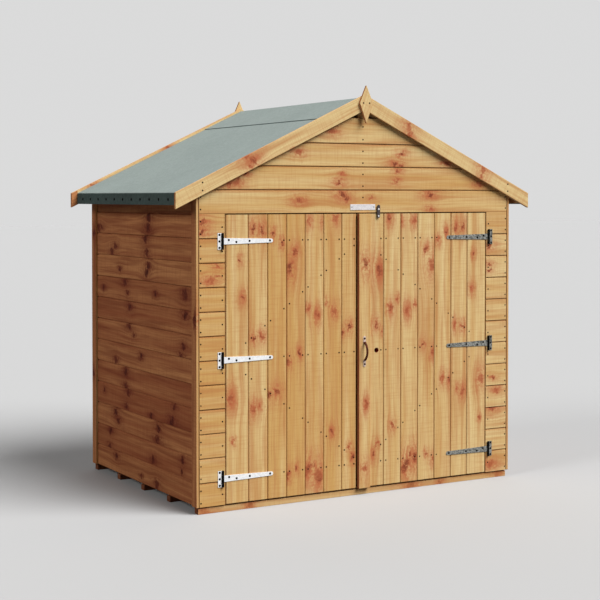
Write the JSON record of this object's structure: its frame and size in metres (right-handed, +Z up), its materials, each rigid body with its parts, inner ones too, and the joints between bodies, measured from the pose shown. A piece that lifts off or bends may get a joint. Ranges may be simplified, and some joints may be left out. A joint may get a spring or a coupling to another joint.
{
  "type": "wooden garden shed",
  "caption": "Small apex garden shed of dipped shiplap pine with boarded double doors on strap hinges, felted roof, bargeboards and pointed finials.",
  "frame": {"origin": "on the ground, under the middle of the middle floor bearer", "axes": "+X along the front to the viewer's right, the front faces -Y, +Z up"},
  "size_m": [2.022, 1.343, 1.9919],
  "materials": {
    "dipped_pine": "golden brown dip, satin",
    "roofing_felt": "green-grey mineral felt, matt",
    "galvanised_steel": "galvanised",
    "bronzed_metal": "dark bronze",
    "black_lacquer": "black lacquer"
  },
  "bodies": {
    "shed": {"floor_bearers": "dipped_pine", "floor_deck": "dipped_pine", "left_cladding": "dipped_pine", "left_studs": "dipped_pine", "left_rails": "dipped_pine", "right_cladding": "dipped_pine", "right_studs": "dipped_pine", "right_rails": "dipped_pine", "back_cladding": "dipped_pine", "back_studs": "dipped_pine", "back_rails": "dipped_pine", "back_rafters": "dipped_pine", "front_left_panel": "dipped_pine", "front_right_panel": "dipped_pine", "front_gable": "dipped_pine", "front_studs": "dipped_pine", "front_rails": "dipped_pine", "front_rafters": "dipped_pine", "corner_trims": "dipped_pine", "left_hinge_plates": "galvanised_steel", "right_hinge_plates": "galvanised_steel", "left_roof_boards": "dipped_pine", "right_roof_boards": "dipped_pine", "left_roof_battens": "dipped_pine", "right_roof_battens": "dipped_pine", "left_roof_felt": "roofing_felt", "right_roof_felt": "roofing_felt", "ridge_felt": "roofing_felt", "front_left_bargeboard": "dipped_pine", "front_right_bargeboard": "dipped_pine", "back_left_bargeboard": "dipped_pine", "back_right_bargeboard": "dipped_pine", "finials": "dipped_pine"},
    "left_door": {"left_door_boards": "dipped_pine", "left_door_ledges": "dipped_pine", "left_door_braces": "dipped_pine", "left_hinge_straps": "galvanised_steel"},
    "right_door": {"right_door_boards": "dipped_pine", "right_door_ledges": "dipped_pine", "right_door_braces": "dipped_pine", "right_hinge_straps": "galvanised_steel", "meeting_strip": "dipped_pine", "door_handle": "bronzed_metal", "lock_case": "black_lacquer"},
    "turn_button": {"turn_button": "galvanised_steel"}
  },
  "joints": [
    {"name": "left_door_hinge", "type": "hinge", "parent": "shed", "child": "left_door", "pos_m": [-0.767, -0.6395, 0.702], "axis": [0, 0, -1], "range_deg": [0, 170]},
    {"name": "right_door_hinge", "type": "hinge", "parent": "shed", "child": "right_door", "pos_m": [0.767, -0.6395, 0.702], "axis": [0, 0, 1], "range_deg": [0, 170]},
    {"name": "turn_button_pivot", "type": "hinge", "parent": "shed", "child": "turn_button", "pos_m": [0.087, -0.6385, 1.394], "axis": [0, -1, 0], "range_deg": [0, 90]}
  ]
}
